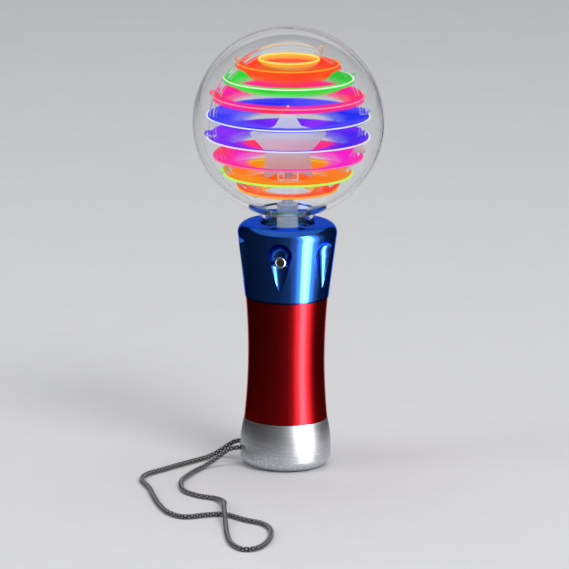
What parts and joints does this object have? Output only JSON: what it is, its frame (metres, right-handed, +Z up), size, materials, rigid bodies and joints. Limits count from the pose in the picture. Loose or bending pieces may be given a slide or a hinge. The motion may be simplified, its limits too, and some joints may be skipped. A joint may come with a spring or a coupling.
{
  "type": "toy magic wand",
  "caption": "Light-up wand: clear globe with a spinning hoop of lights and a star, scalloped blue collar with a push button, red waisted grip, silver base and wrist cord.",
  "frame": {"origin": "middle of the base's underside", "axes": "+Z up along the wand, -Y towards the button"},
  "size_m": [0.1037, 0.1956, 0.2028],
  "materials": {
    "base_silver": "satin silver paint",
    "grip_red": "metallic red paint",
    "collar_blue": "blue plated",
    "button_chrome": "plated",
    "clear_plastic": "clear",
    "hoop_clear": "clear",
    "star_frosted": "frosted",
    "hub_white": "white",
    "led_blue": "clear tinted",
    "led_red": "clear tinted",
    "led_green": "clear tinted",
    "led_orange": "clear tinted",
    "led_yellow": "clear tinted",
    "carrier_white": "moulded",
    "tray_black": "moulded",
    "board_green": "solder mask",
    "steel": "plated",
    "brass": "bare",
    "cell_jacket": "plain sleeve",
    "lead_sleeve": "insulated",
    "cord_black": "braided"
  },
  "bodies": {
    "handle": {"base_cup": "base_silver", "grip_front_shell": "grip_red", "grip_rear_shell": "grip_red", "collar": "collar_blue", "globe_front_half": "clear_plastic", "globe_rear_half": "clear_plastic", "motor_carrier": "carrier_white", "motor_end_cap": "carrier_white", "motor_strap": "carrier_white", "battery_tray": "tray_black", "tact_switch": "tray_black", "control_chip": "tray_black", "control_board": "board_green", "brush_board": "board_green", "base_screws": "steel", "board_screws": "steel", "strap_screws": "steel", "motor_can": "steel", "battery_springs": "steel", "battery_contacts": "steel", "brush_fingers": "brass", "motor_terminals": "brass", "battery_cell_1": "cell_jacket", "battery_cell_2": "cell_jacket", "battery_cell_3": "cell_jacket", "battery_leads": "lead_sleeve", "motor_leads": "lead_sleeve", "brush_leads": "lead_sleeve", "wrist_cord": "cord_black", "cord_knots": "cord_black"},
    "spinner": {"motor_shaft": "steel", "slip_disc": "board_green", "slip_tracks": "brass", "spinner_hub": "hub_white", "led_hoop": "hoop_clear", "led_strip": "board_green", "leds_blue": "led_blue", "leds_red": "led_red", "leds_green": "led_green", "leds_orange": "led_orange", "leds_yellow": "led_yellow", "star_post": "hoop_clear", "star": "star_frosted"},
    "button": {"power_button": "button_chrome", "switch_plunger": "tray_black"},
    "battery_door": {"battery_door": "grip_red", "door_screws": "steel"}
  },
  "joints": [
    {"name": "spin", "type": "hinge", "parent": "handle", "child": "spinner", "pos_m": [0, 0, 0.1593], "axis": [0, 0, 1], "continuous": true},
    {"name": "button_press", "type": "slide", "parent": "handle", "child": "button", "axis": [0, 1, 0], "range_m": [0, 0.0009], "stiffness_N_per_m": 600},
    {"name": "door_lift", "type": "slide", "parent": "handle", "child": "battery_door", "axis": [0, 1, 0], "range_m": [0, 0.03]}
  ]
}
